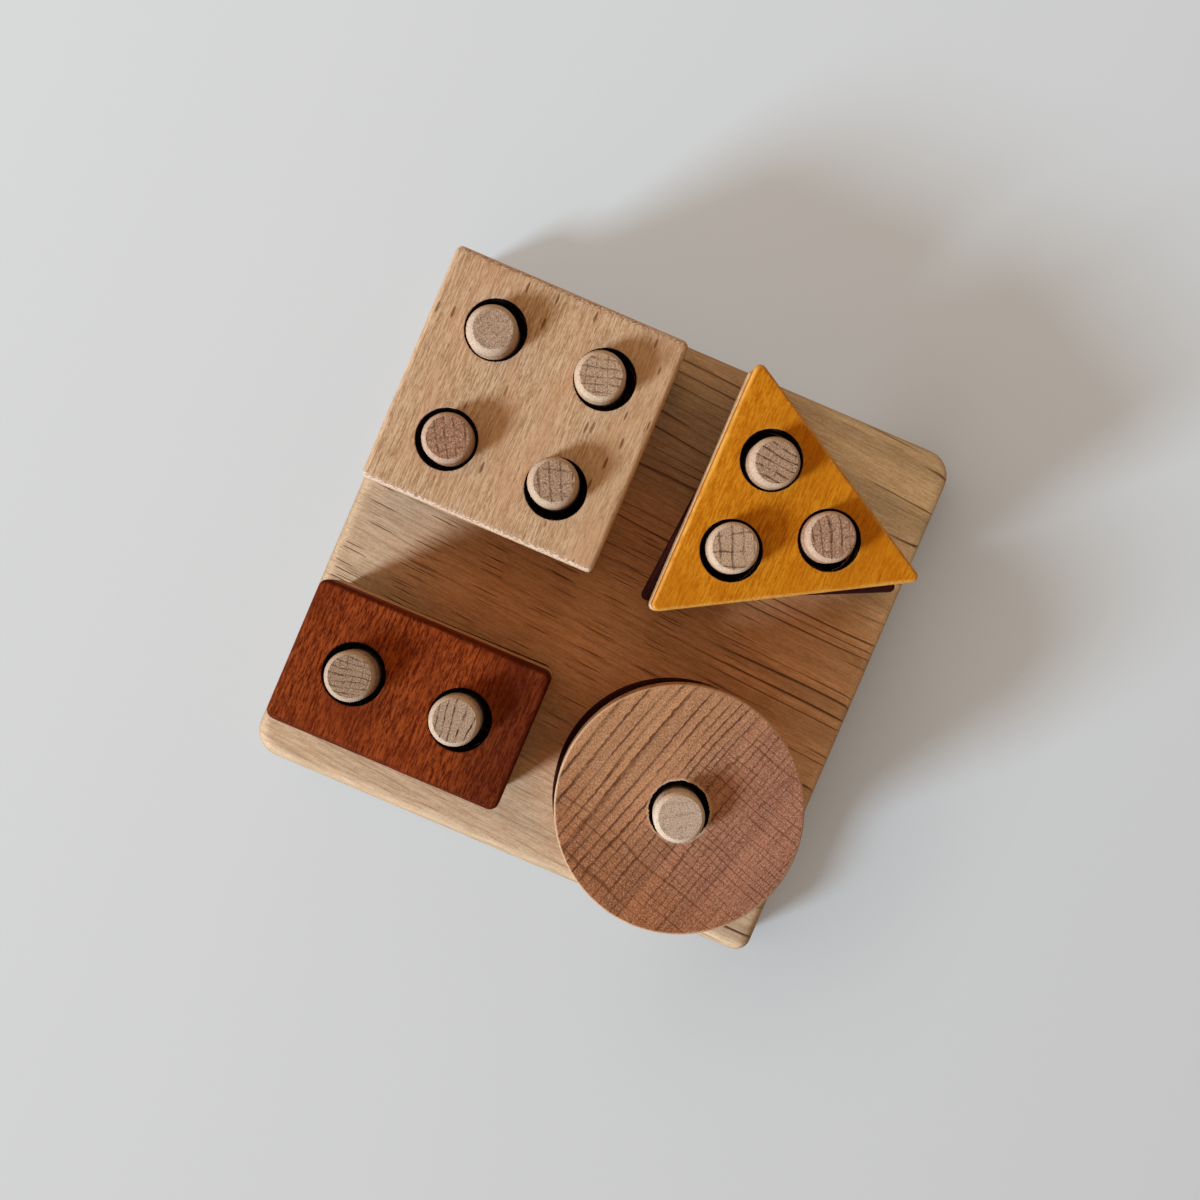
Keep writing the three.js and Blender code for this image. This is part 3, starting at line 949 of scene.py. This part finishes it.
def peg_piece(shape, index):
    stack = STACKS[shape]
    x, y = stack["pegs"][index]
    name = "%s_peg_%d" % (shape, index + 1) if len(stack["pegs"]) > 1 else shape + "_peg"
    looks = PEG_LOOKS[name]
    place = (stack["centre"][0] + x, stack["centre"][1] + y, PEG_FOOT_Z)
    seed = FIRST_PEG_SEED + list(PEG_LOOKS).index(name)
    material = peg_wood(name + "_wood", place, looks, seed)

    def build(bm, wear_and_edge_light):
        peg_mesh(bm, wear_and_edge_light, looks["chamfer"], looks["flat"], looks["lean"])

    piece = new_piece("dowel_" + name, build, [material], place)
    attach(piece, "board_with_pegs")
    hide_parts(name)


def board_piece(hole_wall):
    outline = polygon_outline(box_corners(BOARD_SIDE, BOARD_SIDE), BOARD_CORNERS, BOARD_PITCH)
    sockets = []
    for stack in STACKS.values():
        for peg in stack["pegs"]:
            centre = tuple(Vector(stack["centre"]) + Vector(peg))
            sockets.append({"centre": centre, "radius": PEG_RADIUS + GLUE_GAP,
                            "floor": BOARD_THICKNESS - SOCKET_DEPTH, "ragged": 0})

    def build(bm, wear_and_edge_light):
        slab_mesh(bm, wear_and_edge_light, outline, BOARD_THICKNESS, BOARD_ROUND, BOARD_UNEVEN, BOARD_SEED, sockets)

    piece = new_piece("board", build, [board_wood("board_grain", BOARD_GRAIN), hole_wall])
    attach(piece, "board_with_pegs")
    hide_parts("base_board")


# Floor and light: a cool window low on the left, and a warm dim room. The table also carries painted light,
# seen by the camera only: a pale glow that fades away from the window, with painted shade behind the toy,
# and that leaves the shadow light.
FLOOR_HALF = 3.0
FLOOR_COLOUR = linear(162, 162, 162)
FLOOR_ROUGH = 0.9
FLOOR_GLOW = (0.945, 0.98, 1.0, 1.0)
FLOOR_GLOW_NEAR = 0.348
FLOOR_GLOW_FAR = 0.2
FLOOR_GLOW_REACH = 0.2
FLOOR_SHADE = 0.85
FLOOR_SHADE_REACH = 0.05
FLOOR_SHADE_EDGE = (0.03, 0.06)
FLOOR_SHADE_SAMPLES = 6
FLOOR_SHADE_AZIMUTH = math.radians(190)
FLOOR_SHADE_ELEVATION = math.radians(40)
BACKDROP_COLOUR = (0.7, 0.71, 0.71, 1.0)
ROOM_COLOUR = (1.0, 0.72, 0.46, 1.0)
ROOM_STRENGTH = 0.54
ROOM_SLOPE = 0.7
ROOM_AZIMUTH = math.radians(170)
WINDOW_COLOUR = (0.617, 0.79, 0.951)
WINDOW_STRENGTH = 5.8
WINDOW_SPREAD = math.radians(14)
WINDOW_AZIMUTH = math.radians(230.5)
WINDOW_ELEVATION = math.radians(24.5)


def direction(azimuth, elevation=0.0):
    """A unit vector towards a side and up."""
    level = math.cos(elevation)
    return Vector((level * math.cos(azimuth), level * math.sin(azimuth), math.sin(elevation)))


def pale_table():
    mesh = bpy.data.meshes.new("floor")
    corners = box_corners(2 * FLOOR_HALF, 2 * FLOOR_HALF)
    mesh.from_pydata([(x, y, 0) for x, y in corners], [], [(0, 1, 2, 3)])
    floor = bpy.data.objects.new("floor", mesh)
    bpy.context.scene.collection.objects.link(floor)
    g = Graph(bpy.data.materials.new("pale_table"))
    here = g.axis(g.node("TexCoord", {}).outputs["Object"], 0)
    glow = g.slope(here, -FLOOR_GLOW_REACH, FLOOR_GLOW_REACH, FLOOR_GLOW_NEAR, FLOOR_GLOW_FAR)
    away = direction(FLOOR_SHADE_AZIMUTH, FLOOR_SHADE_ELEVATION)
    towards_room = g.node("CombineXYZ", dict(enumerate(away))).outputs[0]
    inputs = {"Distance": FLOOR_SHADE_REACH, "Normal": towards_room}
    open_room = g.node("AmbientOcclusion", inputs, samples=FLOOR_SHADE_SAMPLES).outputs["AO"]
    shade = g.times(g.minus(1.0, open_room), g.ramp(here, *FLOOR_SHADE_EDGE, 0.0, FLOOR_SHADE))
    glow = g.times(glow, g.minus(1.0, shade))
    sockets = g.shader.inputs
    g.put(sockets["Base Color"], FLOOR_COLOUR)
    g.put(sockets["Roughness"], FLOOR_ROUGH)
    g.put(sockets["Specular IOR Level"], 0.0)
    g.put(sockets["Emission Color"], FLOOR_GLOW)
    g.put(sockets["Emission Strength"], g.times(g.seen(), glow))
    mesh.materials.append(g.owner)


def room_light():
    world = bpy.data.worlds.new("room")
    bpy.context.scene.world = world
    g = Graph(world)
    facing = g.dot(g.node("TexCoord", {}).outputs["Generated"], direction(ROOM_AZIMUTH))
    weakest, strongest = ROOM_STRENGTH * (1 - ROOM_SLOPE), ROOM_STRENGTH * (1 + ROOM_SLOPE)
    strength = g.slope(facing, -1.0, 1.0, weakest, strongest)
    room = g.node("Background", {"Color": ROOM_COLOUR, "Strength": strength}).outputs[0]
    backdrop = g.node("Background", {"Color": BACKDROP_COLOUR}).outputs[0]
    both = g.node("MixShader", {0: g.seen(), 1: room, 2: backdrop}).outputs[0]
    g.put(g.tree.nodes["World Output"].inputs["Surface"], both)


def window_light():
    window = bpy.data.objects.new("window", bpy.data.lights.new("window", "SUN"))
    window.data.angle = WINDOW_SPREAD
    window.data.energy = WINDOW_STRENGTH
    window.data.color = WINDOW_COLOUR
    way = direction(WINDOW_AZIMUTH, WINDOW_ELEVATION)
    window.location = way
    window.rotation_euler = way.to_track_quat("Z", "Y").to_euler()
    bpy.context.scene.collection.objects.link(window)


drilled = drilled_wood("drilled_hole")
board_piece(drilled)
for stack_name, stack_parts in STACKS.items():
    for peg_index in range(len(stack_parts["pegs"])):
        peg_piece(stack_name, peg_index)
    for block_level in range(len(stack_parts["blocks"])):
        block_piece(stack_name, block_level, drilled)
photo_camera()
pale_table()
room_light()
window_light()
bpy.context.scene.view_settings.view_transform = "Standard"
